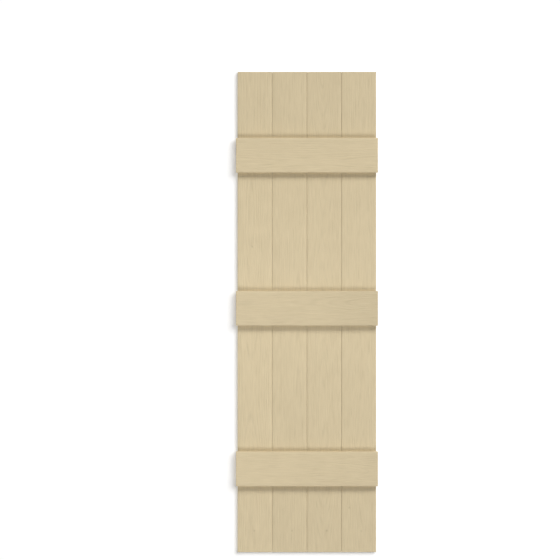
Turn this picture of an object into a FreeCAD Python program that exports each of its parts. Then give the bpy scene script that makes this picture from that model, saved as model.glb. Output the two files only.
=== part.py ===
import FreeCAD, Part
import os
import Sketcher

from enum import IntEnum
from FreeCAD import Placement, Rotation, Vector

# Board and batten shutter: upright boards side by side, with level battens across their front.
# The wall face is the plane y = 0, the front looks along -Y, and the origin is the middle of the wall face.
# Boards and battens are moulded planks with an open, ribbed back.

SIZES = {
    # the panel of boards
    "shutter_height": 1193.8,
    "board_width": 85.7,
    "board_depth": 12.7,
    "board_gap": 0.5,
    # the battens across it
    "batten_width": 85.7,
    "batten_depth": 12.7,
    "batten_overhang": 3.8,
    "batten_end_margin": 165.1,
    "middle_batten_rise": 9.2,
    # the moulded walls
    "face_wall": 2.6,
    "side_wall": 2.4,
    "end_wall": 2.4,
    "batten_end_land": 2.0,
    "long_edge_radius": 1.2,
    "end_edge_radius": 0.8,
    # the ribs behind the faces
    "rib_wall": 1.8,
    "rib_set_back": 3.0,
    "spine_offset": 14.0,
    "rib_spacing": 170.0,
    # the places of the screws that hold a batten to each board, from behind
    "screw_pad_diameter": 12.0,
    "screw_pad_height": 2.0,
    "screw_post_diameter": 8.0,
    "screw_reach_along_batten": 25.0,
    "screw_reach_across_batten": 23.0,
}

BOARDS = ["board_outer_left", "board_inner_left", "board_inner_right", "board_outer_right"]

TOUCHING = 1e-6


class Spot(IntEnum):
    """The point of a line or circle that a sketch dimension is taken from."""

    FIRST = 1
    LAST = 2
    CENTRE = 3


class Axis(IntEnum):
    """A sketch's own level axis, whose first point is the sketch's origin."""

    LEVEL = -1


SKETCH_ORIGIN = (Axis.LEVEL, Spot.FIRST)


def cell(name):
    return f"Sizes.{name}"


BOARD_PITCH = f"({cell('board_width')} + {cell('board_gap')})"
PANEL_WIDTH = f"({len(BOARDS)} * {cell('board_width')} + {len(BOARDS) - 1} * {cell('board_gap')})"
BATTEN_LENGTH = f"({PANEL_WIDTH} + 2 * {cell('batten_overhang')})"
END_BATTEN_RISE = f"({cell('shutter_height')} / 2 - {cell('batten_end_margin')} - {cell('batten_width')} / 2)"

# each batten and the height of its middle above the middle of the boards
BATTENS = {
    "batten_top": END_BATTEN_RISE,
    "batten_middle": cell("middle_batten_rise"),
    "batten_bottom": f"-{END_BATTEN_RISE}",
}


def make_sheet(doc):
    """The driving dimensions, one to a row, in millimetres."""
    sheet = doc.addObject("Spreadsheet::Sheet", "Sizes")
    for row, (name, size) in enumerate(SIZES.items(), start=1):
        sheet.set(f"A{row}", name)
        sheet.set(f"B{row}", str(size))
        sheet.setAlias(f"B{row}", name)
    doc.recompute()
    return sheet


doc = FreeCAD.newDocument("board_and_batten_shutter")
sheet = make_sheet(doc)


def size(expression):
    return float(sheet.evalExpression(expression))


def board_place(index):
    """How far a board's middle lies to the right of the panel's middle."""
    return f"({index - (len(BOARDS) - 1) / 2} * {BOARD_PITCH})"


def plane_of(body, role):
    return next(item for item in body.Origin.OriginFeatures if item.Role == role)


def new_sketch(body, name, role, set_back="0"):
    """A sketch on one of the body's own planes, moved along that plane's normal."""
    sketch = body.newObject("Sketcher::SketchObject", name)
    sketch.AttachmentSupport = (plane_of(body, role), [""])
    sketch.MapMode = "FlatFace"
    sketch.setExpression("AttachmentOffset.Base.z", set_back)
    return sketch


def bind(sketch, name, expression, kind, *places):
    """A dimension of the sketch that follows the sheet."""
    index = sketch.addConstraint(Sketcher.Constraint(kind, *places, size(expression)))
    sketch.renameConstraint(index, name)
    sketch.setExpression(f"Constraints.{name}", expression)


def draw_rectangle(sketch, name, left, bottom, wide, high):
    u0, v0 = size(left), size(bottom)
    u1, v1 = u0 + size(wide), v0 + size(high)
    corners = [Vector(u0, v0), Vector(u1, v0), Vector(u1, v1), Vector(u0, v1)]
    base = sketch.GeometryCount
    lines = [base, base + 1, base + 2, base + 3]
    for start, end in zip(corners, corners[1:] + corners[:1]):
        sketch.addGeometry(Part.LineSegment(start, end), False)
    for line, following in zip(lines, lines[1:] + lines[:1]):
        sketch.addConstraint(Sketcher.Constraint("Coincident", line, Spot.LAST, following, Spot.FIRST))
    for level in lines[0::2]:
        sketch.addConstraint(Sketcher.Constraint("Horizontal", level))
    for upright in lines[1::2]:
        sketch.addConstraint(Sketcher.Constraint("Vertical", upright))
    from_origin = (*SKETCH_ORIGIN, base, Spot.FIRST)
    bind(sketch, f"{name}_left", left, "DistanceX", *from_origin)
    bind(sketch, f"{name}_bottom", bottom, "DistanceY", *from_origin)
    bind(sketch, f"{name}_wide", wide, "DistanceX", lines[0], Spot.FIRST, lines[0], Spot.LAST)
    bind(sketch, f"{name}_high", high, "DistanceY", lines[1], Spot.FIRST, lines[1], Spot.LAST)


def draw_circle(sketch, name, right, up, diameter):
    centre = Vector(size(right), size(up))
    circle = sketch.addGeometry(Part.Circle(centre, Vector(0, 0, 1), size(diameter) / 2), False)
    from_origin = (*SKETCH_ORIGIN, circle, Spot.CENTRE)
    bind(sketch, f"{name}_diameter", diameter, "Diameter", circle)
    bind(sketch, f"{name}_right", right, "DistanceX", *from_origin)
    bind(sketch, f"{name}_up", up, "DistanceY", *from_origin)


def pad_forward(body, name, sketch, length):
    """Material from a sketch on the plank's back towards its face."""
    pad = body.newObject("PartDesign::Pad", name)
    pad.Profile = sketch
    pad.setExpression("Length", length)
    doc.recompute()
    return pad


def round_edges(body, name, feature, picked, radius):
    fillet = body.newObject("PartDesign::Fillet", name)
    fillet.Base = (feature, picked)
    fillet.setExpression("Radius", radius)
    doc.recompute()
    return fillet


def edges_where(shape, test):
    """The names of the edges whose first and last points pass a test."""
    return [
        f"Edge{number}"
        for number, edge in enumerate(shape.Edges, start=1)
        if test(edge.firstVertex().Point, edge.lastVertex().Point)
    ]


class Plank:
    """A moulded plank that stands along its own Z, with its back on y = 0 and its face towards -Y."""

    def __init__(self, label, length, width, depth):
        self.body = doc.addObject("PartDesign::Body", label)
        self.body.Label = label
        self.length = length
        self.width = width
        self.depth = depth

    def add_blank(self):
        """The outer form, with eased edges round its face."""
        section = new_sketch(self.body, "section", "XY_Plane")
        draw_rectangle(section, "plank", f"-{self.width} / 2", f"-{self.depth}", self.width, self.depth)
        blank = self.body.newObject("PartDesign::Pad", "blank")
        blank.Profile = section
        blank.SideType = "Symmetric"
        blank.setExpression("Length", self.length)
        doc.recompute()

        face = -size(self.depth)

        def along_face(start, end):
            return abs(start.z - end.z) > TOUCHING and max(start.y, end.y) < face + TOUCHING

        def round_end(start, end):
            return abs(start.z - end.z) < TOUCHING and min(start.y, end.y) < -TOUCHING

        sides = edges_where(blank.Shape, along_face)
        eased = round_edges(self.body, "eased_sides", blank, sides, cell("long_edge_radius"))
        ends = edges_where(eased.Shape, round_end)
        self.solid = round_edges(self.body, "eased_ends", eased, ends, cell("end_edge_radius"))

    def add_hollow(self, hollow_length):
        """The open back: what is left is a face, two sides and two ends."""
        inner_width = f"({self.width} - 2 * {cell('side_wall')})"
        outline = new_sketch(self.body, "hollow_outline", "XZ_Plane")
        draw_rectangle(
            outline, "hollow", f"-{inner_width} / 2", f"-{hollow_length} / 2", inner_width, hollow_length
        )
        hollow = self.body.newObject("PartDesign::Pocket", "hollow")
        hollow.Profile = outline
        hollow.Reversed = True
        hollow.setExpression("Length", f"{self.depth} - {cell('face_wall')}")
        doc.recompute()
        if hollow.Shape.Volume >= self.solid.Shape.Volume:
            raise RuntimeError(f"{self.body.Label}: the hollow cuts nothing")
        self.hollow_length = hollow_length

    def add_ribs(self, cross_pitch, cross_count):
        """Two spines along the plank and a row of ribs across it, set back from the wall."""
        rib_height = f"{self.depth} - {cell('rib_set_back')} - {cell('face_wall')} / 2"
        rib = cell("rib_wall")
        to_end_wall = f"({self.hollow_length} + {cell('end_wall')})"
        spine_outline = new_sketch(self.body, "spine_outline", "XZ_Plane", cell("rib_set_back"))
        for name, place in (("left", f"-{cell('spine_offset')}"), ("right", cell("spine_offset"))):
            draw_rectangle(spine_outline, name, f"{place} - {rib} / 2", f"-{to_end_wall} / 2", rib, to_end_wall)
        pad_forward(self.body, "spines", spine_outline, rib_height)

        to_side_wall = f"({self.width} - {cell('side_wall')})"
        lowest = f"-({cross_count} - 1) / 2 * {cross_pitch} - {rib} / 2"
        cross_outline = new_sketch(self.body, "cross_rib_outline", "XZ_Plane", cell("rib_set_back"))
        draw_rectangle(cross_outline, "rib", f"-{to_side_wall} / 2", lowest, to_side_wall, rib)
        cross_rib = pad_forward(self.body, "cross_rib", cross_outline, rib_height)
        row = self.body.newObject("PartDesign::LinearPattern", "cross_ribs")
        row.Originals = [cross_rib]
        row.Direction = (cross_outline, ["V_Axis"])
        row.Mode = "Spacing"
        row.setExpression("Offset", cross_pitch)
        row.setExpression("Occurrences", cross_count)
        self.body.Tip = row
        doc.recompute()

    def add_screw_places(self, places, diameter, set_back):
        """Round pads or posts behind the face, where the screws go."""
        outline = new_sketch(self.body, "screw_place_outline", "XZ_Plane", set_back)
        for number, (right, up) in enumerate(places, start=1):
            draw_circle(outline, f"screw_{number}", right, up, diameter)
        height = f"{self.depth} - {cell('face_wall')} / 2 - {set_back}"
        self.body.Tip = pad_forward(self.body, "screw_places", outline, height)

    def put(self, rotation, x, y, z):
        self.body.Placement = Placement(Vector(), rotation)
        for letter, place in zip("xyz", (x, y, z)):
            self.body.setExpression(f"Placement.Base.{letter}", place)


def screws_at_crossing():
    """The two screws of each crossing, on a diagonal: to the right of its middle and above it."""
    right = cell("screw_reach_along_batten")
    up = cell("screw_reach_across_batten")
    return [(f"-{right}", up), (right, f"-{up}")]


def make_board(label, index):
    board = Plank(label, cell("shutter_height"), cell("board_width"), cell("board_depth"))
    hollow_length = f"({cell('shutter_height')} - 2 * {cell('end_wall')})"
    cells_along = f"round({hollow_length} / {cell('rib_spacing')})"
    pad_top = f"({cell('board_depth')} - {cell('face_wall')} - {cell('screw_pad_height')})"
    screws = [
        (right, f"{rise} + {up}")
        for rise in BATTENS.values()
        for right, up in screws_at_crossing()
    ]
    board.add_blank()
    board.add_hollow(hollow_length)
    board.add_ribs(f"({hollow_length} / {cells_along})", f"({cells_along} - 1)")
    board.add_screw_places(screws, cell("screw_pad_diameter"), pad_top)
    board.put(Rotation(), board_place(index), "0", "0")
    return board.body


def make_batten(label, rise):
    """A batten is turned to lie along X, so that its own Z points right and its own X points down."""
    batten = Plank(label, BATTEN_LENGTH, cell("batten_width"), cell("batten_depth"))
    hollow_length = f"({PANEL_WIDTH} - 2 * {cell('batten_end_land')})"
    screws = [
        (f"-({up})", f"{board_place(index)} + {right}")
        for index in range(len(BOARDS))
        for right, up in screws_at_crossing()
    ]
    batten.add_blank()
    batten.add_hollow(hollow_length)
    batten.add_ribs(BOARD_PITCH, str(len(BOARDS) - 1))
    batten.add_screw_places(screws, cell("screw_post_diameter"), "0")
    batten.put(Rotation(Vector(0, 1, 0), 90), "0", f"-{cell('board_depth')}", rise)
    return batten.body


def check(pieces):
    """Every object is sound, and each piece is one valid solid."""
    for item in doc.Objects:
        if "Invalid" in item.State or "Error" in item.State:
            raise RuntimeError(f"{item.Label} failed: {item.State}")
    for piece in pieces:
        shape = piece.Shape
        if shape.isNull() or not shape.isValid() or len(shape.Solids) != 1:
            raise RuntimeError(f"{piece.Label} is not one valid solid")


pieces = [make_board(label, index) for index, label in enumerate(BOARDS)]
pieces += [make_batten(label, rise) for label, rise in BATTENS.items()]
doc.recompute()
check(pieces)
os.makedirs("parts", exist_ok=True)
for piece in pieces:
    piece.Shape.exportStep(f"parts/{piece.Label}.step")
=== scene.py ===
import math
from dataclasses import dataclass, field

import bmesh
import bpy
from bpy.props import FloatProperty, FloatVectorProperty, IntProperty, PointerProperty
from bpy.types import Operator, Panel, PropertyGroup, Scene
from mathutils import Matrix, Vector, noise


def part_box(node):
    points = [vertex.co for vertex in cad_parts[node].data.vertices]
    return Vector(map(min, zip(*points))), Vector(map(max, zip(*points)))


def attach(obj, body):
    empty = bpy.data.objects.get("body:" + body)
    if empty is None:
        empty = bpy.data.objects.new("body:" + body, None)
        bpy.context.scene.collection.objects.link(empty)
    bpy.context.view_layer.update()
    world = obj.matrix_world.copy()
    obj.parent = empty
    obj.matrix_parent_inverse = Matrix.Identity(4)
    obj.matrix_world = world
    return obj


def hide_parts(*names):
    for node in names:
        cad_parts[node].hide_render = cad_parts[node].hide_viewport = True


bl_info = {
    "name": "Board and Batten Shutter",
    "version": (1, 0, 0),
    "blender": (4, 5, 0),
    "location": "View3D > Sidebar > Shutter",
    "description": "Models the grained planks, the screws and the stage of a board and batten shutter",
    "category": "Object",
}

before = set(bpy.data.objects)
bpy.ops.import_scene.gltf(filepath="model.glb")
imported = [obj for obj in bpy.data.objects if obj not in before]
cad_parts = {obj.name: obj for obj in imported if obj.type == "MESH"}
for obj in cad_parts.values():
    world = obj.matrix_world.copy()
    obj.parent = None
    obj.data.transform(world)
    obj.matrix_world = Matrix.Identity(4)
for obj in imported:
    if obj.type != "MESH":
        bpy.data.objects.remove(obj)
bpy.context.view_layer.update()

BODY = "root"
BOARDS = ("board_outer_left", "board_inner_left", "board_inner_right", "board_outer_right")
BATTENS = ("batten_top", "batten_middle", "batten_bottom")

RIGHT = Vector((1, 0, 0))
FRONT = Vector((0, -1, 0))
UP = Vector((0, 0, 1))
QUARTER_TURN = math.pi / 2
LEVEL_TURN = Matrix.Rotation(QUARTER_TURN, 4, "Y")
TOUCHING = 1e-6
SMOOTH_BELOW = math.radians(35)

# a plank's second material, for what has no grain
PLAIN = 1
# what each point of a plank keeps for the finish: its place, and its tone, which holds painted shade in the
# grain's grooves and, on the battens, painted light and shade
PLACE_LAYER = "plank_place"
TONE_AND_PAINTED_LIGHT_LAYER = "plank_tone"


def node_size(node):
    low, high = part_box(node)
    return high - low


def node_middle(node):
    low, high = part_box(node)
    return (low + high) / 2


BOARD_SIZE = node_size(BOARDS[0])
BATTEN_SIZE = node_size(BATTENS[0])
PANEL_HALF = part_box(BOARDS[-1])[1].x
SHUTTER_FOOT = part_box(BOARDS[0])[0].z


# Settings


def length(name, description, default):
    return FloatProperty(name=name, description=description, default=default, unit="LENGTH", precision=5)


def share(name, description, default):
    return FloatProperty(
        name=name, description=description, default=default, subtype="FACTOR", min=0.0, max=1.0, precision=4
    )


def colour(name, description, default):
    return FloatVectorProperty(
        name=name, description=description, default=default, subtype="COLOR", size=3, min=0.0, max=1.0
    )


def settings_of(kind, name, description):
    return PointerProperty(type=kind, name=name, description=description)


class PlankSizes(PropertyGroup):
    """The moulded section that boards and battens share."""

    face_wall: length("Face Wall", "Thickness behind the face", 0.0026)
    side_wall: length("Side Wall", "Thickness of the long sides", 0.0024)
    board_end_wall: length("Board End Wall", "Thickness of a board's ends", 0.0024)
    batten_end_land: length("Batten End Land", "How far a batten's solid end reaches onto the boards", 0.002)
    long_edge_radius: length("Long Edge Radius", "Easing along the sides of the face", 0.0012)
    end_edge_radius: length("End Edge Radius", "Easing round the ends", 0.0008)
    ease_segments: IntProperty(name="Ease Segments", description="Facets in an eased edge", default=4)
    rib_wall: length("Rib Wall", "Thickness of the ribs behind the face", 0.0018)
    rib_set_back: length("Rib Set Back", "How far the ribs stop short of the wall", 0.003)
    spine_offset: length("Spine Offset", "From a plank's middle to each long rib", 0.014)
    rib_spacing: length("Rib Spacing", "Largest distance between a board's cross ribs", 0.17)
    roll_width: length("Roll Width", "Strip beside each long edge where the face falls away", 0.0075)
    roll_depth: length("Roll Depth", "How far the face has fallen at its long edges", 0.0005)


class GrainSizes(PropertyGroup):
    """The wood grain that is pressed into every face."""

    step_across: length("Step Across", "Spacing of the relief's points across the grain", 0.0006)
    step_along: length("Step Along", "Spacing of the relief's points along the grain", 0.004)
    ring_pitch: length("Ring Pitch", "Distance between growth rings", 0.0036)
    ring_unevenness: share("Ring Unevenness", "How far the rings stray from even spacing", 0.5)
    groove_depth: length("Groove Depth", "Depth of the deepest grain line", 0.0004)
    # painted shade: the grain's grooves are coloured darker by their depth
    groove_painted_shade: share("Groove Painted Shade", "How much darker the deepest grain line is", 0.08)
    heart_depth: length("Heart Depth", "How far behind the face the rings are centred", 0.022)
    figure_length: length("Figure Length", "Length of the arches in the grain", 0.42)
    wander: length("Wander", "How far the lines stray sideways", 0.0045)
    wander_length: length("Wander Length", "Length over which they stray", 0.26)
    patch_width: length("Patch Width", "Width of the patches of deeper grain", 0.012)
    patch_length: length("Patch Length", "Length of the patches of deeper grain", 0.028)
    margin: length("Margin", "Strip round the face where the grain fades out", 0.0015)
    knot_radius: length("Knot Radius", "Radius of the small knots", 0.0024)
    knot_depth: length("Knot Depth", "Depth of the small knots", 0.0005)
    knot_sway_width: length("Knot Sway Width", "How far beside a knot the lines bend", 0.007)
    knot_sway_length: length("Knot Sway Length", "How far above and below a knot the lines bend", 0.026)
    knot_sway: share("Knot Sway", "How strongly the lines bend round a knot", 0.7)
    knot_shade: share("Knot Shade", "How much darker a knot is", 0.12)


class ScrewSizes(PropertyGroup):
    """The screws that hold each batten from behind, two to a crossing."""

    reach_along: length("Reach Along", "From the crossing's middle to a screw, along the batten", 0.025)
    reach_across: length("Reach Across", "From the crossing's middle to a screw, across the batten", 0.023)
    pad_diameter: length("Pad Diameter", "Raised pad under each head", 0.012)
    pad_height: length("Pad Height", "Height of that pad", 0.002)
    post_diameter: length("Post Diameter", "Post inside the batten that takes the screw", 0.008)
    head_diameter: length("Head Diameter", "Pan head of a screw", 0.0084)
    head_height: length("Head Height", "Height of the pan head", 0.0026)
    cap_share: share("Cap Share", "Flat top of the head as a share of its diameter", 0.68)
    recess_depth: length("Recess Depth", "Depth of the cross recess", 0.0014)


class ShutterColours(PropertyGroup):
    """The colours of the shutter and of its stage."""

    vinyl: colour("Vinyl", "Moulded-in colour of the planks", (0.668, 0.560, 0.366))
    vinyl_shade: colour("Vinyl Shade", "Colour in the bottom of the grain", (0.595, 0.492, 0.313))
    zinc: colour("Zinc", "Plating of the screws", (0.62, 0.63, 0.65))
    zinc_dull: colour("Dull Zinc", "Duller patches of the plating", (0.45, 0.46, 0.48))
    wall: colour("Wall", "Backdrop wall", (0.78, 0.78, 0.78))
    floor: colour("Floor", "Pale floor", (0.78, 0.78, 0.78))


class StudioSettings(PropertyGroup):
    """The stage, the camera and the light."""

    framed_width: length("Framed Width", "Width of the picture at the boards", 1.3916)
    camera_distance: length("Camera Distance", "From the wall to the camera", 5.0)
    camera_right: length("Camera Right", "How far right of the shutter's middle the camera is", -0.0668)
    camera_up: length("Camera Up", "How far above the shutter's middle the camera is", 0.0795)
    floor_drop: length("Floor Drop", "From the shutter's foot down to the floor", 0.026)
    wall_gap: length("Wall Gap", "From the shutter's back to the backdrop", 0.0002)
    floor_reach: length("Floor Reach", "Half the width of the floor", 4.0)
    wall_reach: length("Wall Reach", "Half the width of the backdrop", 3.0)
    wall_glow: share("Wall Glow", "How much lighter the backdrop looks than its light makes it", 0.39)
    floor_glow: share("Floor Glow", "How much lighter the floor looks than its light makes it", 0.71)
    ambient: share("Ambient", "Share of the light that comes from all round", 0.01)
    key: share("Key", "Share of the light from above", 0.55)
    low: share("Low", "Share of the light from below", 0.385)
    fill: share("Fill", "Share of the light from close in front", 0.12)
    side: share("Side", "Share of the light that grazes from the right", 0.04)
    rear: share("Rear", "Light on the back from above, for views from behind", 0.65)
    rear_low: share("Rear Low", "Light on the back from below, for views from behind", 0.4)
    stage: share("Stage", "Light on the floor and backdrop alone", 0.8)


class ShutterSettings(PropertyGroup):
    """Everything about the shutter that a user would change."""

    plank: settings_of(PlankSizes, "Plank", "Section of the boards and battens")
    grain: settings_of(GrainSizes, "Grain", "Wood grain of the faces")
    screw: settings_of(ScrewSizes, "Screw", "Screws behind the battens")
    colours: settings_of(ShutterColours, "Colours", "Colours of the shutter and its stage")
    studio: settings_of(StudioSettings, "Studio", "Stage, camera and light")


# Mesh work on one plank


@dataclass
class Plank:
    """One plank in its own frame: along Z, with its back on y = 0 and its face towards -Y."""

    width: float
    depth: float
    length: float
    end_wall: float
    rib_levels: list
    screw_places: list
    screw_pad: tuple
    seed: float
    heart: float
    # the plank's tone and its change from end to end; on the battens both are painted light and shade
    tone: float
    tone_drift: float
    knots: list = field(default_factory=list)


def clamped(value, low, high):
    return min(max(value, low), high)


def faces_at(bm, y):
    """The faces that lie flat at one depth."""
    return [face for face in bm.faces if all(abs(vert.co.y - y) < TOUCHING for vert in face.verts)]


def geometry_of(faces):
    edges = {edge for face in faces for edge in face.edges}
    verts = {vert for face in faces for vert in face.verts}
    return [*verts, *edges, *faces]


def bevel_edges(bm, edges, radius, segments):
    bmesh.ops.bevel(
        bm,
        geom=edges,
        offset=radius,
        offset_type="OFFSET",
        segments=segments,
        profile=0.5,
        affect="EDGES",
        material=-1,
        clamp_overlap=True,
    )


def sink(bm, faces, distance):
    """Pushes faces towards the plank's face, each with walls of its own."""
    sunk = bmesh.ops.extrude_discrete_faces(bm, faces=faces)["faces"]
    verts = list({vert for face in sunk for vert in face.verts})
    bmesh.ops.translate(bm, vec=FRONT * distance, verts=verts)


def cut_across(bm, depth, axis, place):
    """Cuts the faces at one depth in two, square to an axis."""
    ground = geometry_of(faces_at(bm, depth))
    bmesh.ops.bisect_plane(bm, geom=ground, dist=TOUCHING, plane_co=axis * place, plane_no=axis)


def add_blank(bm, plank):
    bmesh.ops.create_cube(bm, size=1.0)
    bmesh.ops.scale(bm, vec=(plank.width, plank.depth, plank.length), verts=bm.verts)
    bmesh.ops.translate(bm, vec=FRONT * plank.depth / 2, verts=bm.verts)


def add_hollow(bm, plank, sizes):
    """Opens the back and leaves two spines and a row of cross ribs standing in it."""
    mouth = faces_at(bm, 0.0)[0]
    mouth.material_index = PLAIN
    bmesh.ops.inset_region(bm, faces=[mouth], thickness=sizes.side_wall, use_even_offset=True)
    for vert in mouth.verts:
        vert.co.z = math.copysign(plank.length / 2 - plank.end_wall, vert.co.z)
    sink(bm, [mouth], sizes.rib_set_back)

    rib_tops = -sizes.rib_set_back
    half_rib = sizes.rib_wall / 2
    spines = (-sizes.spine_offset, sizes.spine_offset)
    for axis, ribs in ((RIGHT, spines), (UP, plank.rib_levels)):
        for rib in ribs:
            for side in (-half_rib, half_rib):
                cut_across(bm, rib_tops, axis, rib + side)

    def clear_of_ribs(face):
        centre = face.calc_center_median()
        off_spines = all(abs(centre.x - spine) > half_rib for spine in spines)
        return off_spines and all(abs(centre.z - level) > half_rib for level in plank.rib_levels)

    cells = [face for face in faces_at(bm, rib_tops) if clear_of_ribs(face)]
    sink(bm, cells, plank.depth - sizes.face_wall - sizes.rib_set_back)


def ease_edges(bm, plank, sizes):
    """Rounds the long edges of the face, then the ends all round to the back."""

    def runs_along(edge):
        return abs(edge.verts[0].co.z - edge.verts[1].co.z) > TOUCHING

    def on_face(edge):
        return all(vert.co.y < TOUCHING - plank.depth for vert in edge.verts)

    def round_end(edge):
        at_end = all(abs(abs(vert.co.z) - plank.length / 2) < TOUCHING for vert in edge.verts)
        return at_end and not runs_along(edge) and any(vert.co.y < -TOUCHING for vert in edge.verts)

    sides = [edge for edge in bm.edges if runs_along(edge) and on_face(edge)]
    bevel_edges(bm, sides, sizes.long_edge_radius, sizes.ease_segments)
    ends = [edge for edge in bm.edges if round_end(edge)]
    bevel_edges(bm, ends, sizes.end_edge_radius, sizes.ease_segments)


# facets round a screw pad or post, and the easing of its rim as a share of its diameter
PAD_FACETS = 28
PAD_EASE = 1 / 30
PAD_EASE_SEGMENTS = 2


def add_screw_places(bm, plank, sizes):
    """Round pads or posts behind the face; each is rooted halfway into the face wall."""
    diameter, top = plank.screw_pad
    root = plank.depth - sizes.face_wall / 2
    turn = Matrix.Rotation(QUARTER_TURN, 4, "X")

    def on_rim(edge):
        return all(vert.co.y > -top - TOUCHING for vert in edge.verts)

    for right, up in plank.screw_places:
        middle = Matrix.Translation((right, -(top + root) / 2, up))
        made = bmesh.ops.create_cone(
            bm,
            cap_ends=True,
            segments=PAD_FACETS,
            radius1=diameter / 2,
            radius2=diameter / 2,
            depth=root - top,
            matrix=middle @ turn,
        )
        faces = {face for vert in made["verts"] for face in vert.link_faces}
        for face in faces:
            face.material_index = PLAIN
        rim = {edge for face in faces for edge in face.edges if on_rim(edge)}
        bevel_edges(bm, list(rim), diameter * PAD_EASE, PAD_EASE_SEGMENTS)


# how many radii above and below a knot the face is divided more finely
KNOT_REACH = 2


def divide_face(bm, plank, grain):
    """Divides the face finely enough to take the grain, and more finely across its knots."""

    def heights(edge):
        return [vert.co.z for vert in edge.verts]

    def is_level(edge):
        first, last = heights(edge)
        return abs(first - last) < TOUCHING

    def face_edges(level):
        edges = {edge for face in faces_at(bm, -plank.depth) for edge in face.edges}
        return [edge for edge in edges if is_level(edge) == level]

    def divide(edges, steps):
        bmesh.ops.subdivide_edges(bm, edges=edges, cuts=steps - 1, use_grid_fill=True)

    divide(face_edges(level=False), round(plank.length / grain.step_along))
    divide(face_edges(level=True), round(plank.width / grain.step_across))
    for _, knot_up in plank.knots:
        near = [
            edge
            for edge in face_edges(level=False)
            if abs(sum(heights(edge)) / 2 - knot_up) < KNOT_REACH * grain.knot_radius
        ]
        divide(near, round(grain.step_along / grain.step_across))


# a growth ring is one broad groove with some finer lines: their shares of its depth and how narrow they are
BROAD_SHARE = 0.75
BROAD_NARROWNESS = 3
FINE_SHARE = 0.25
FINE_NARROWNESS = 2
FINE_LINES = 2.6
# strength of the grain from patch to patch: its middle, how far it varies and the least that is left
PATCH_STRENGTH = 0.55
PATCH_VARIATION = 0.9
PATCH_LEAST = 0.2
# keep the uses of one plank's noise apart
RING_SEED = 7.0
PATCH_SEED = 31.0


def knot_weight(right, up, knot, reach_across, reach_along):
    across = (right - knot[0]) / reach_across
    along = (up - knot[1]) / reach_along
    return math.exp(-across * across - along * along)


def sway_round_knots(right, up, plank, grain):
    """How far the knots push the grain aside at a point of the face."""
    reaches = (grain.knot_sway_width, grain.knot_sway_length)
    pushes = [(right - knot[0]) * knot_weight(right, up, knot, *reaches) for knot in plank.knots]
    return grain.knot_sway * sum(pushes)


def wave(turns, narrowness):
    """A groove to each turn, 1 in its middle."""
    return (0.5 - 0.5 * math.cos(math.tau * turns)) ** narrowness


def groove(right, up, plank, grain):
    """How deep the grain is at a point, from 0 to 1: rings round a heart line, cut by the face."""
    stray = grain.wander * noise.noise((right / plank.width, up / grain.wander_length, plank.seed))
    arch = noise.noise((plank.seed, up / grain.figure_length, 0.0))
    across = right - sway_round_knots(right, up, plank, grain) - plank.heart + stray
    ring = math.hypot(across, grain.heart_depth * (1.0 + arch)) / grain.ring_pitch
    ring += grain.ring_unevenness * noise.noise((ring, plank.seed, RING_SEED))
    lines = BROAD_SHARE * wave(ring, BROAD_NARROWNESS) + FINE_SHARE * wave(ring * FINE_LINES, FINE_NARROWNESS)
    patch = noise.noise((right / grain.patch_width, up / grain.patch_length, plank.seed + PATCH_SEED))
    return lines * clamped(PATCH_STRENGTH + PATCH_VARIATION * patch, PATCH_LEAST, 1.0)


def emboss(bm, plank, sizes, grain):
    """Presses the grain and knots into the face and lets the face fall away beside its long edges."""
    flat_right = plank.width / 2 - sizes.long_edge_radius
    flat_up = plank.length / 2 - sizes.end_edge_radius
    tone = bm.verts.layers.float[TONE_AND_PAINTED_LIGHT_LAYER]
    for vert in bm.verts:
        right, from_face, up = vert.co.x, vert.co.y + plank.depth, vert.co.z
        if from_face > sizes.long_edge_radius - TOUCHING:
            continue
        rolled = clamped((abs(right) - flat_right + sizes.roll_width) / sizes.roll_width, 0.0, 1.0)
        fall = sizes.roll_depth * rolled**2 * (1.0 - from_face / sizes.long_edge_radius)
        inside = min(flat_right - abs(right), flat_up - abs(up))
        if from_face < TOUCHING and inside > TOUCHING:
            fade = min(inside / grain.margin, 1.0)
            radii = (grain.knot_radius, grain.knot_radius)
            knot = sum(knot_weight(right, up, place, *radii) for place in plank.knots)
            line = fade * groove(right, up, plank, grain)
            fall += grain.groove_depth * line + fade * grain.knot_depth * knot
            # painted shade in the grooves, darkest where a groove is deepest; the knots are coloured darker
            # too
            vert[tone] -= grain.groove_painted_shade * line + grain.knot_shade * knot
        vert.co.y += fall


def mark_places(bm, plank):
    """Keeps each point's place on its own plank, and the plank's tone, for the finish; on the battens that
    tone is painted light and shade.
    """
    place = bm.verts.layers.float_vector.new(PLACE_LAYER)
    tone = bm.verts.layers.float.new(TONE_AND_PAINTED_LIGHT_LAYER)
    for vert in bm.verts:
        vert[place] = vert.co + UP * plank.seed
        vert[tone] = plank.tone + plank.tone_drift * vert.co.z / plank.length


def plank_mesh(plank, sizes, grain):
    bm = bmesh.new()
    add_blank(bm, plank)
    add_hollow(bm, plank, sizes)
    ease_edges(bm, plank, sizes)
    add_screw_places(bm, plank, sizes)
    divide_face(bm, plank, grain)
    mark_places(bm, plank)
    emboss(bm, plank, sizes, grain)
    return bm


def add_object(name, bm, materials):
    """Turns finished mesh work into an object of the scene."""
    mesh = bpy.data.meshes.new(name)
    bm.to_mesh(mesh)
    bm.free()
    for material in materials:
        mesh.materials.append(material)
    thing = bpy.data.objects.new(name, mesh)
    bpy.context.scene.collection.objects.link(thing)
    return thing


def add_piece(name, bm, materials):
    """A smooth-shaded piece of the shutter."""
    piece = add_object(name, bm, materials)
    piece.data.shade_smooth()
    piece.data.set_sharp_from_angle(angle=SMOOTH_BELOW)
    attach(piece, BODY)
    return piece


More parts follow.
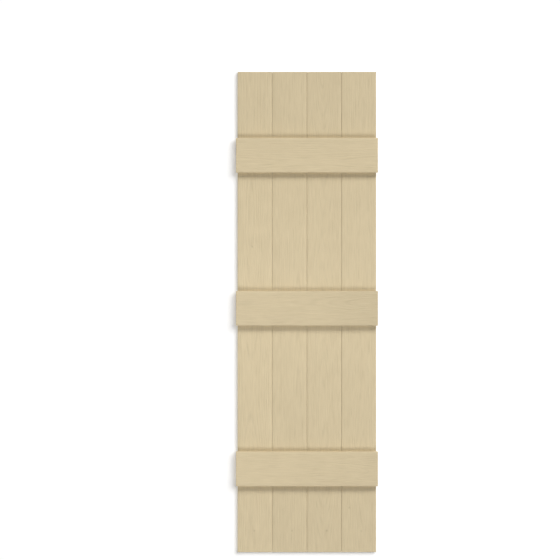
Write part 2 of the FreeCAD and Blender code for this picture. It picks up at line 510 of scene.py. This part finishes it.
def add_plank(node, plank, settings, turn):
    """A plank turned and moved to where its solid is, which it stands for."""
    bm = plank_mesh(plank, settings.plank, settings.grain)
    middle = node_middle(node)
    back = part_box(node)[1].y
    bmesh.ops.transform(bm, matrix=Matrix.Translation((middle.x, back, middle.z)) @ turn, verts=bm.verts)
    materials = [grained_vinyl(settings.colours), plain_vinyl(settings.colours)]
    piece = add_piece(f"grained_{node}", bm, materials)
    normals = piece.modifiers.new("even_normals", "WEIGHTED_NORMAL")
    normals.keep_sharp = True
    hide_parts(node)


# Nodes of the finishes


def feed(tree, socket, value):
    """Links an input to another node's output, or sets it to a plain value."""
    if isinstance(value, bpy.types.NodeSocket):
        tree.links.new(value, socket)
    else:
        socket.default_value = value


def find_input(node, name):
    """The enabled input of that name, written with underscores for spaces."""
    wanted = name.replace("_", " ").lower()
    return next(socket for socket in node.inputs if socket.enabled and socket.name.lower() == wanted)


def add_node(tree, kind, settings=None, **inputs):
    node = tree.nodes.new(kind)
    for name, value in (settings or {}).items():
        setattr(node, name, value)
    for name, value in inputs.items():
        feed(tree, find_input(node, name), value)
    return node


def combined(tree, kind, operation, *inputs):
    """A maths node, whose inputs share one name and go by their order."""
    node = add_node(tree, kind, {"operation": operation})
    for socket, value in zip(node.inputs, inputs):
        feed(tree, socket, value)
    return next(socket for socket in node.outputs if socket.enabled)


def maths(tree, operation, first, second):
    return combined(tree, "ShaderNodeMath", operation, first, second)


def ranged(tree, value, low, high):
    """Spreads a mask between two values."""
    return add_node(tree, "ShaderNodeMapRange", Value=value, To_Min=low, To_Max=high).outputs["Result"]


def blended(tree, factor, first, second):
    """One colour or another, by a mask."""
    node = add_node(tree, "ShaderNodeMix", {"data_type": "RGBA"}, Factor=factor, A=first, B=second)
    return next(socket for socket in node.outputs if socket.enabled)


def scaled(tree, rgb, factor):
    node = add_node(tree, "ShaderNodeVectorMath", {"operation": "SCALE"}, Vector=rgb, Scale=factor)
    return node.outputs["Vector"]


def bump(tree, height, distance, strength):
    node = add_node(tree, "ShaderNodeBump", Height=height, Distance=distance, Strength=strength)
    return node.outputs["Normal"]


def attribute(tree, name):
    return add_node(tree, "ShaderNodeAttribute", {"attribute_name": name}).outputs


def opaque(rgb):
    return (*rgb, 1.0)


def patches(tree, place, width, run, detail, roughness=0.5):
    """Noise in patches of that width, and of that length along the plank."""
    size = add_node(tree, "ShaderNodeCombineXYZ", X=width, Y=width, Z=run).outputs["Vector"]
    units = combined(tree, "ShaderNodeVectorMath", "DIVIDE", place, size)
    texture = add_node(
        tree, "ShaderNodeTexNoise", Vector=units, Scale=1.0, Detail=detail, Roughness=roughness
    )
    return texture.outputs["Fac"]


def new_group(name, sizes, outputs):
    """A node group that takes a place and some sizes: its tree, its entry and its way out."""
    tree = bpy.data.node_groups.new(name, "ShaderNodeTree")
    tree.interface.new_socket("Place", in_out="INPUT", socket_type="NodeSocketVector")
    for size_name, default in sizes.items():
        socket = tree.interface.new_socket(size_name, in_out="INPUT", socket_type="NodeSocketFloat")
        socket.default_value = default
    for output in outputs:
        tree.interface.new_socket(output, in_out="OUTPUT", socket_type="NodeSocketFloat")
    entry = tree.nodes.new("NodeGroupInput").outputs
    leave = tree.nodes.new("NodeGroupOutput").inputs
    return tree, entry, leave


# how far each pattern is broken up into finer ones
STREAK_DETAIL = 2.0
STREAK_ROUGHNESS = 0.55
PORE_DETAIL = 1.0
CLOUD_DETAIL = 3.0
PEBBLE_DETAIL = 1.0


def grain_group():
    """Fine streaks and pores that run along a plank."""
    name = "Plank Grain"
    if name in bpy.data.node_groups:
        return bpy.data.node_groups[name]
    sizes = {"Streak Width": 0.0022, "Streak Length": 0.035, "Pore Width": 0.0006, "Pore Length": 0.009}
    tree, entry, leave = new_group(name, sizes, ["Streak", "Pores"])
    place = entry["Place"]
    streak = patches(
        tree, place, entry["Streak Width"], entry["Streak Length"], STREAK_DETAIL, STREAK_ROUGHNESS
    )
    pores = patches(tree, place, entry["Pore Width"], entry["Pore Length"], PORE_DETAIL)
    tree.links.new(streak, leave["Streak"])
    tree.links.new(pores, leave["Pores"])
    return tree


def skin_group():
    """The cloudy tone and fine pebble of a moulded or plated skin."""
    name = "Moulded Skin"
    if name in bpy.data.node_groups:
        return bpy.data.node_groups[name]
    sizes = {"Cloud Size": 0.09, "Pebble Size": 0.0009}
    tree, entry, leave = new_group(name, sizes, ["Cloud", "Pebble"])
    for output, detail in (("Cloud", CLOUD_DETAIL), ("Pebble", PEBBLE_DETAIL)):
        size = entry[f"{output} Size"]
        tree.links.new(patches(tree, entry["Place"], size, size, detail), leave[output])
    return tree


def add_group(tree, group, **inputs):
    return add_node(tree, "ShaderNodeGroup", {"node_tree": group}, **inputs).outputs


# Finishes


@dataclass
class Skin:
    """How a finish takes the light: roughness at both ends of its mask, fine relief and sheen."""

    roughness: tuple
    relief_depth: float
    relief_strength: float
    sheen: float


GRAINED_SKIN = Skin(roughness=(0.60, 0.48), relief_depth=0.0003, relief_strength=0.8, sheen=0.25)
PLAIN_SKIN = Skin(roughness=(0.36, 0.5), relief_depth=0.00006, relief_strength=0.4, sheen=0.35)
ZINC_SKIN = Skin(roughness=(0.46, 0.28), relief_depth=0.00003, relief_strength=0.5, sheen=0.5)

# how strongly the streaks show, how far the tone clouds over and how much pebble lies among the pores
STREAK_CONTRAST = (-0.35, 1.35)
CLOUD_TONES = (0.96, 1.04)
PEBBLE_AMONG_PORES = 0.5
# clouds behind the face and on a screw, and the pebble of the plating
PLAIN_CLOUD = 0.05
ZINC_CLOUD = 0.004
ZINC_PEBBLE = 0.0003


def new_material(name):
    """An empty Principled material: its node tree and its shader."""
    material = bpy.data.materials.new(name)
    material.use_nodes = True
    tree = material.node_tree
    return material, tree, tree.nodes["Principled BSDF"]


def put_skin(tree, shader, skin, base, mask, height):
    """Gives the shader a colour, a roughness that follows a mask, and a fine relief."""
    outputs = {
        "Base Color": base,
        "Roughness": ranged(tree, mask, *skin.roughness),
        "Normal": bump(tree, height, skin.relief_depth, skin.relief_strength),
    }
    for name, output in outputs.items():
        tree.links.new(output, shader.inputs[name])
    shader.inputs["Specular IOR Level"].default_value = skin.sheen


def grained_vinyl(colours):
    """Moulded vinyl with a pressed wood grain, darker streaks, painted shade in the grooves and a low sheen.
    """
    name = "grained_vinyl"
    if name in bpy.data.materials:
        return bpy.data.materials[name]
    material, tree, shader = new_material(name)
    place = attribute(tree, PLACE_LAYER)["Vector"]
    grain = add_group(tree, grain_group(), Place=place)
    skin = add_group(tree, skin_group(), Place=place)
    streak = ranged(tree, grain["Streak"], *STREAK_CONTRAST)
    cloud = ranged(tree, skin["Cloud"], *CLOUD_TONES)
    # the tone brings painted shade in the grooves and, on the battens, painted light and shade
    tone = maths(tree, "MULTIPLY", cloud, attribute(tree, TONE_AND_PAINTED_LIGHT_LAYER)["Fac"])
    base = blended(tree, streak, opaque(colours.vinyl_shade), opaque(colours.vinyl))
    pebble = maths(tree, "MULTIPLY", skin["Pebble"], PEBBLE_AMONG_PORES)
    height = maths(tree, "ADD", grain["Pores"], pebble)
    put_skin(tree, shader, GRAINED_SKIN, scaled(tree, base, tone), streak, height)
    return material


def plain_vinyl(colours):
    """The same vinyl as it leaves the mould behind the face: no grain, smoother and slightly cloudy."""
    name = "plain_vinyl"
    if name in bpy.data.materials:
        return bpy.data.materials[name]
    material, tree, shader = new_material(name)
    place = attribute(tree, PLACE_LAYER)["Vector"]
    skin = add_group(tree, skin_group(), Place=place, Cloud_Size=PLAIN_CLOUD)
    base = blended(tree, skin["Cloud"], opaque(colours.vinyl_shade), opaque(colours.vinyl))
    put_skin(tree, shader, PLAIN_SKIN, base, skin["Cloud"], skin["Pebble"])
    return material


def zinc_plate(colours):
    """Bright zinc plating with duller patches."""
    name = "zinc_plate"
    if name in bpy.data.materials:
        return bpy.data.materials[name]
    material, tree, shader = new_material(name)
    place = add_node(tree, "ShaderNodeTexCoord").outputs["Object"]
    skin = add_group(tree, skin_group(), Place=place, Cloud_Size=ZINC_CLOUD, Pebble_Size=ZINC_PEBBLE)
    base = blended(tree, skin["Cloud"], opaque(colours.zinc_dull), opaque(colours.zinc))
    put_skin(tree, shader, ZINC_SKIN, base, skin["Cloud"], skin["Pebble"])
    shader.inputs["Metallic"].default_value = 1.0
    return material


# Boards


def screws_at_crossing(screw):
    """The two screws of a crossing, on a diagonal: right of its middle and above it."""
    return [(-screw.reach_along, screw.reach_across), (screw.reach_along, -screw.reach_across)]


# how far right of its middle and above the shutter's middle each board shows a small knot
FOOT_KNOT = (0.0055, -0.5445)
BOARD_KNOTS = (
    [(-0.0022, -0.5445), (-0.0072, 0.1615)],
    [FOOT_KNOT],
    [FOOT_KNOT],
    [FOOT_KNOT, (-0.0247, -0.4870)],
)
# how far right of its middle each board's rings are centred
BOARD_HEARTS = (-0.011, 0.019, -0.004, 0.012)
# each board's tone, and how much lighter its top is than its foot
BOARD_TONES = (1.03, 1.0, 0.995, 1.0)
BOARD_TONE_DRIFTS = (-0.04, 0.0, 0.0, 0.0)
BOARD_SEED_STEP = 3.7


def board_plank(index, settings):
    hollow = BOARD_SIZE.z - 2 * settings.plank.board_end_wall
    cells = round(hollow / settings.plank.rib_spacing)
    crossing = screws_at_crossing(settings.screw)
    rises = [node_middle(batten).z for batten in BATTENS]
    pad_top = BOARD_SIZE.y - settings.plank.face_wall - settings.screw.pad_height
    return Plank(
        width=BOARD_SIZE.x,
        depth=BOARD_SIZE.y,
        length=BOARD_SIZE.z,
        end_wall=settings.plank.board_end_wall,
        rib_levels=[hollow * (cell / cells - 0.5) for cell in range(1, cells)],
        screw_places=[(right, rise + up) for rise in rises for right, up in crossing],
        screw_pad=(settings.screw.pad_diameter, pad_top),
        seed=BOARD_SEED_STEP * (index + 1),
        heart=BOARD_HEARTS[index],
        tone=BOARD_TONES[index],
        tone_drift=BOARD_TONE_DRIFTS[index],
        knots=BOARD_KNOTS[index],
    )


class SHUTTER_OT_add_boards(Operator):
    """Models the upright boards, with grained faces and ribbed backs"""

    bl_idname = "shutter.add_boards"
    bl_label = "Add Boards"

    def execute(self, context):
        settings = context.scene.shutter
        for index, node in enumerate(BOARDS):
            add_plank(node, board_plank(index, settings), settings, Matrix())
        return {"FINISHED"}


# Battens

# how far below its middle each batten's rings are centred
BATTEN_HEARTS = (0.016, -0.013, 0.008)
# each batten's tone, which is painted light and shade: the middle one darker and the top and bottom ones
# lighter against the light that falls on them; and how much lighter its right end is than its left, a painted
# fading light
BATTEN_PAINTED_TONES = (1.022, 0.948, 1.026)
BATTEN_PAINTED_LIGHT_DRIFTS = (-0.02, -0.07, -0.07)
BATTEN_SEED = 23.0
BATTEN_SEED_STEP = 5.3


def batten_plank(index, settings):
    """A batten is turned to lie along X, so that its own Z points right and its own X points down."""
    overhang = BATTEN_SIZE.x / 2 - PANEL_HALF
    middles = [node_middle(board).x for board in BOARDS]
    crossing = screws_at_crossing(settings.screw)
    return Plank(
        width=BATTEN_SIZE.z,
        depth=BATTEN_SIZE.y,
        length=BATTEN_SIZE.x,
        end_wall=overhang + settings.plank.batten_end_land,
        rib_levels=[(left + right) / 2 for left, right in zip(middles, middles[1:])],
        screw_places=[(-up, middle + right) for middle in middles for right, up in crossing],
        screw_pad=(settings.screw.post_diameter, 0.0),
        seed=BATTEN_SEED + BATTEN_SEED_STEP * index,
        heart=BATTEN_HEARTS[index],
        # the batten's tone and its drift are painted light and shade
        tone=BATTEN_PAINTED_TONES[index],
        tone_drift=BATTEN_PAINTED_LIGHT_DRIFTS[index],
    )


class SHUTTER_OT_add_battens(Operator):
    """Models the level battens, with grained faces"""

    bl_idname = "shutter.add_battens"
    bl_label = "Add Battens"

    def execute(self, context):
        settings = context.scene.shutter
        for index, node in enumerate(BATTENS):
            add_plank(node, batten_plank(index, settings), settings, LEVEL_TURN)
        return {"FINISHED"}


# Screws

# squares across the cap of a head; the cross recess is made of some of them
CAP_CELLS = 7
# rings below the cap, each with its share of the head's radius and its drop as a share of the height
DOME_RINGS = ((0.86, 0.10), (0.96, 0.34), (1.0, 0.70), (1.0, 1.0))
# how far the recess turns from board to board, and from one screw of a crossing to the other
SPIN_BY_BOARD = math.radians(37)
SPIN_BY_SCREW = math.radians(61)


def verts_in(geometry):
    return [item for item in geometry if isinstance(item, bmesh.types.BMVert)]


def edges_in(geometry):
    return [item for item in geometry if isinstance(item, bmesh.types.BMEdge)]


def in_cross(face):
    """Whether a square of the cap lies in the cross, which stops one square short of the rim."""
    centre = face.calc_center_median()
    near, far = sorted((abs(centre.x), abs(centre.y)))
    return near < 1 / CAP_CELLS and far < 1 - 2 / CAP_CELLS


def add_cap(bm, screw):
    """The flat top of a head, a grid drawn out round: its points, its rim and the faces of its cross."""
    cap = bmesh.ops.create_grid(bm, x_segments=CAP_CELLS, y_segments=CAP_CELLS, size=1.0)["verts"]
    faces = list({face for vert in cap for face in vert.link_faces})
    rim = [edge for face in faces for edge in face.edges if edge.is_boundary]
    cross = [face for face in faces if in_cross(face)]
    radius = screw.cap_share * screw.head_diameter / 2
    for vert in cap:
        x, y = vert.co.xy
        round_x = x * math.sqrt(1 - y * y / 2)
        round_y = y * math.sqrt(1 - x * x / 2)
        vert.co = Vector((round_x * radius, round_y * radius, screw.head_height))
    return cap, rim, cross


def add_screw_head(bm, place, screw):
    """A pan head with a cross recess, which stands on its place and points along the place's Z."""
    cap, rim, cross = add_cap(bm, screw)
    recess = verts_in(bmesh.ops.extrude_face_region(bm, geom=cross)["geom"])
    bmesh.ops.delete(bm, geom=cross, context="FACES")
    bmesh.ops.translate(bm, vec=UP * -screw.recess_depth, verts=recess)
    made = [*cap, *recess]
    for radius_share, drop_share in DOME_RINGS:
        skirt = bmesh.ops.extrude_edge_only(bm, edges=rim)["geom"]
        rim = edges_in(skirt)
        ring = verts_in(skirt)
        for vert in ring:
            spoke = vert.co.xy.normalized() * radius_share * screw.head_diameter / 2
            vert.co = Vector((spoke.x, spoke.y, screw.head_height * (1 - drop_share)))
        made += ring
    bmesh.ops.edgeloop_fill(bm, edges=rim)
    bmesh.ops.transform(bm, matrix=place, verts=made)


class SHUTTER_OT_add_screws(Operator):
    """Models the screws that hold each batten from behind"""

    bl_idname = "shutter.add_screws"
    bl_label = "Add Screws"

    def execute(self, context):
        settings = context.scene.shutter
        screw = settings.screw
        seat = -(BOARD_SIZE.y - settings.plank.face_wall - screw.pad_height)
        face_back = Matrix.Rotation(-QUARTER_TURN, 4, "X")
        for batten in BATTENS:
            bm = bmesh.new()
            for column, board in enumerate(BOARDS):
                for turn, (right, up) in enumerate(screws_at_crossing(screw)):
                    spot = (node_middle(board).x + right, seat, node_middle(batten).z + up)
                    spin = Matrix.Rotation(SPIN_BY_BOARD * column + SPIN_BY_SCREW * turn, 4, "Z")
                    add_screw_head(bm, Matrix.Translation(spot) @ face_back @ spin, screw)
            bmesh.ops.recalc_face_normals(bm, faces=bm.faces)
            add_piece(f"screws_{batten}", bm, [zinc_plate(settings.colours)])
        return {"FINISHED"}


# Stage

WHITE = (1.0, 1.0, 1.0)


def seen_directly(tree):
    """1 to the camera, in reflections and through glass, and 0 for the light that falls on things."""
    path = tree.nodes.new("ShaderNodeLightPath").outputs
    seen = maths(tree, "MAXIMUM", path["Is Camera Ray"], path["Is Glossy Ray"])
    return maths(tree, "MAXIMUM", seen, path["Is Transmission Ray"])


def stage_material(name, rgb, glow):
    """A pale surface that looks lighter than its light makes it, and can't be seen from behind."""
    material = bpy.data.materials.new(name)
    material.use_nodes = True
    tree = material.node_tree
    tree.nodes.clear()
    lit = add_node(tree, "ShaderNodeBsdfDiffuse", Color=opaque(rgb)).outputs["BSDF"]
    strength = ranged(tree, seen_directly(tree), 0.0, glow)
    glowing = add_node(tree, "ShaderNodeEmission", Color=opaque(WHITE), Strength=strength).outputs["Emission"]
    both = tree.nodes.new("ShaderNodeAddShader")
    tree.links.new(lit, both.inputs[0])
    tree.links.new(glowing, both.inputs[1])
    behind = tree.nodes.new("ShaderNodeNewGeometry").outputs["Backfacing"]
    clear = tree.nodes.new("ShaderNodeBsdfTransparent").outputs["BSDF"]
    choice = tree.nodes.new("ShaderNodeMixShader")
    tree.links.new(behind, choice.inputs["Fac"])
    tree.links.new(both.outputs["Shader"], choice.inputs[1])
    tree.links.new(clear, choice.inputs[2])
    surface = tree.nodes.new("ShaderNodeOutputMaterial").inputs["Surface"]
    tree.links.new(choice.outputs["Shader"], surface)
    return material


def add_stage_sheet(name, bm, materials):
    """A sheet of the stage, which takes shadows but neither casts any nor sends light on."""
    sheet = add_object(name, bm, materials)
    sheet.visible_shadow = False
    sheet.visible_diffuse = False
    return sheet


def add_floor(settings):
    studio = settings.studio
    bm = bmesh.new()
    level = Matrix.Translation((0, 0, SHUTTER_FOOT - studio.floor_drop))
    bmesh.ops.create_grid(bm, x_segments=1, y_segments=1, size=studio.floor_reach, matrix=level)
    pale = stage_material("pale_floor", settings.colours.floor, studio.floor_glow)
    return add_stage_sheet("floor", bm, [pale])


def add_backdrop(settings):
    """The wall that the shutter lies on; the patch that the boards cover has no glow."""
    studio = settings.studio
    reach = studio.wall_reach
    bm = bmesh.new()
    upright = Matrix.Translation((0, studio.wall_gap, 0)) @ Matrix.Rotation(QUARTER_TURN, 4, "X")
    bmesh.ops.create_grid(bm, x_segments=1, y_segments=1, size=reach, matrix=upright)
    covered = next(iter(bm.faces))
    bmesh.ops.inset_region(bm, faces=[covered], thickness=reach / 2, use_boundary=True, use_even_offset=True)
    for vert in covered.verts:
        vert.co.x = math.copysign(PANEL_HALF - settings.plank.side_wall, vert.co.x)
        vert.co.z = math.copysign(-SHUTTER_FOOT - settings.plank.side_wall, vert.co.z)
    white = stage_material("white_wall", settings.colours.wall, studio.wall_glow)
    unlit = stage_material("covered_wall", settings.colours.wall, 0.0)
    materials = [white, unlit]
    covered.material_index = materials.index(unlit)
    floor = UP * (SHUTTER_FOOT - studio.floor_drop)
    bmesh.ops.bisect_plane(bm, geom=geometry_of(bm.faces), plane_co=floor, plane_no=-UP, clear_outer=True)
    return add_stage_sheet("backdrop", bm, materials)


@dataclass
class Lamp:
    """An area lamp aimed at the shutter's middle; its name is also that of its level."""

    name: str
    place: tuple
    size: tuple


LAMPS = (
    Lamp("key", place=(3.0, -6.0, 7.8), size=(5.8, 4.0)),
    Lamp("low", place=(-1.0, -5.8, -4.8), size=(2.0, 3.2)),
    Lamp("fill", place=(-0.04, -0.5, 0.03), size=(0.3, 0.2)),
    Lamp("side", place=(2.8, -0.6, -0.7), size=(0.8, 0.8)),
    Lamp("rear", place=(1.8, 2.2, 2.0), size=(1.8, 1.8)),
    Lamp("rear_low", place=(-3.0, 1.6, -0.9), size=(2.4, 2.4)),
)
STAGE_SUN = Vector((1, -2, 1))
STAGE_SUN_ANGLE = math.radians(44)


def slant_from(place):
    """How squarely light from a place meets an upright face at the middle."""
    return abs(place.normalized().y)


def hang_light(light, place, lit):
    """Aims a light at the shutter's middle and lets it reach one group of things alone."""
    holder = bpy.data.objects.new(light.name, light)
    holder.location = place
    holder.rotation_euler = (-place).to_track_quat("-Z", "Y").to_euler()
    holder.visible_camera = False
    holder.light_linking.receiver_collection = lit
    bpy.context.scene.collection.objects.link(holder)


def add_lamp(lamp, studio, lit):
    """An area lamp whose level is 1 where it alone lights an upright face at the middle fully."""
    place = Vector(lamp.place)
    light = bpy.data.lights.new(f"{lamp.name}_lamp", "AREA")
    light.shape = "RECTANGLE"
    light.size, light.size_y = lamp.size
    light.energy = getattr(studio, lamp.name) * math.pi**2 * place.length_squared / slant_from(place)
    hang_light(light, place, lit)


def add_stage_sun(studio, lit):
    """A broad sun that lights floor and backdrop evenly, so that only the shutter's shadow shows."""
    light = bpy.data.lights.new("stage_sun", "SUN")
    light.angle = STAGE_SUN_ANGLE
    light.energy = studio.stage * math.pi / slant_from(STAGE_SUN)
    hang_light(light, STAGE_SUN, lit)


def group_of(name, things):
    group = bpy.data.collections.new(name)
    for thing in things:
        group.objects.link(thing)
    return group


def add_world(ambient):
    """White to the camera and in reflections, and an even low light on everything else."""
    world = bpy.data.worlds.new("studio")
    bpy.context.scene.world = world
    world.use_nodes = True
    tree = world.node_tree
    tree.nodes.clear()
    strength = ranged(tree, seen_directly(tree), ambient, 1.0)
    background = add_node(tree, "ShaderNodeBackground", Color=opaque(WHITE), Strength=strength)
    surface = tree.nodes.new("ShaderNodeOutputWorld").inputs["Surface"]
    tree.links.new(background.outputs["Background"], surface)


def add_camera(studio):
    """Straight on, from slightly left of the shutter's middle and above it."""
    camera = bpy.data.cameras.new("camera")
    board_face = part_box(BOARDS[0])[0].y
    camera.lens = camera.sensor_width * (studio.camera_distance + board_face) / studio.framed_width
    holder = bpy.data.objects.new("camera", camera)
    holder.location = (studio.camera_right, -studio.camera_distance, studio.camera_up)
    holder.rotation_euler = (QUARTER_TURN, 0, 0)
    bpy.context.scene.collection.objects.link(holder)
    bpy.context.scene.camera = holder


class SHUTTER_OT_set_stage(Operator):
    """Sets the floor, the backdrop, the lamps and the camera"""

    bl_idname = "shutter.set_stage"
    bl_label = "Set Stage"

    def execute(self, context):
        settings = context.scene.shutter
        studio = settings.studio
        context.scene.view_settings.view_transform = "Standard"
        shutter = group_of("lit_shutter", [thing for thing in context.scene.objects if thing.type == "MESH"])
        stage = group_of("lit_stage", [add_floor(settings), add_backdrop(settings)])
        for lamp in LAMPS:
            add_lamp(lamp, studio, shutter)
        add_stage_sun(studio, stage)
        add_world(studio.ambient)
        add_camera(studio)
        return {"FINISHED"}


# Add-on


class SHUTTER_PT_tools(Panel):
    """Lists the steps that dress the shutter"""

    bl_idname = "SHUTTER_PT_tools"
    bl_label = "Board and Batten Shutter"
    bl_space_type = "VIEW_3D"
    bl_region_type = "UI"
    bl_category = "Shutter"

    def draw(self, context):
        for operator in OPERATORS:
            self.layout.operator(operator.bl_idname)


OPERATORS = (
    SHUTTER_OT_add_boards,
    SHUTTER_OT_add_battens,
    SHUTTER_OT_add_screws,
    SHUTTER_OT_set_stage,
)
CLASSES = (
    PlankSizes,
    GrainSizes,
    ScrewSizes,
    ShutterColours,
    StudioSettings,
    ShutterSettings,
    *OPERATORS,
    SHUTTER_PT_tools,
)


def register():
    for cls in CLASSES:
        bpy.utils.register_class(cls)
    Scene.shutter = PointerProperty(type=ShutterSettings)


def unregister():
    del Scene.shutter
    for cls in reversed(CLASSES):
        bpy.utils.unregister_class(cls)


def main():
    register()
    bpy.ops.shutter.add_boards()
    bpy.ops.shutter.add_battens()
    bpy.ops.shutter.add_screws()
    bpy.ops.shutter.set_stage()


if __name__ == "__main__":
    main()
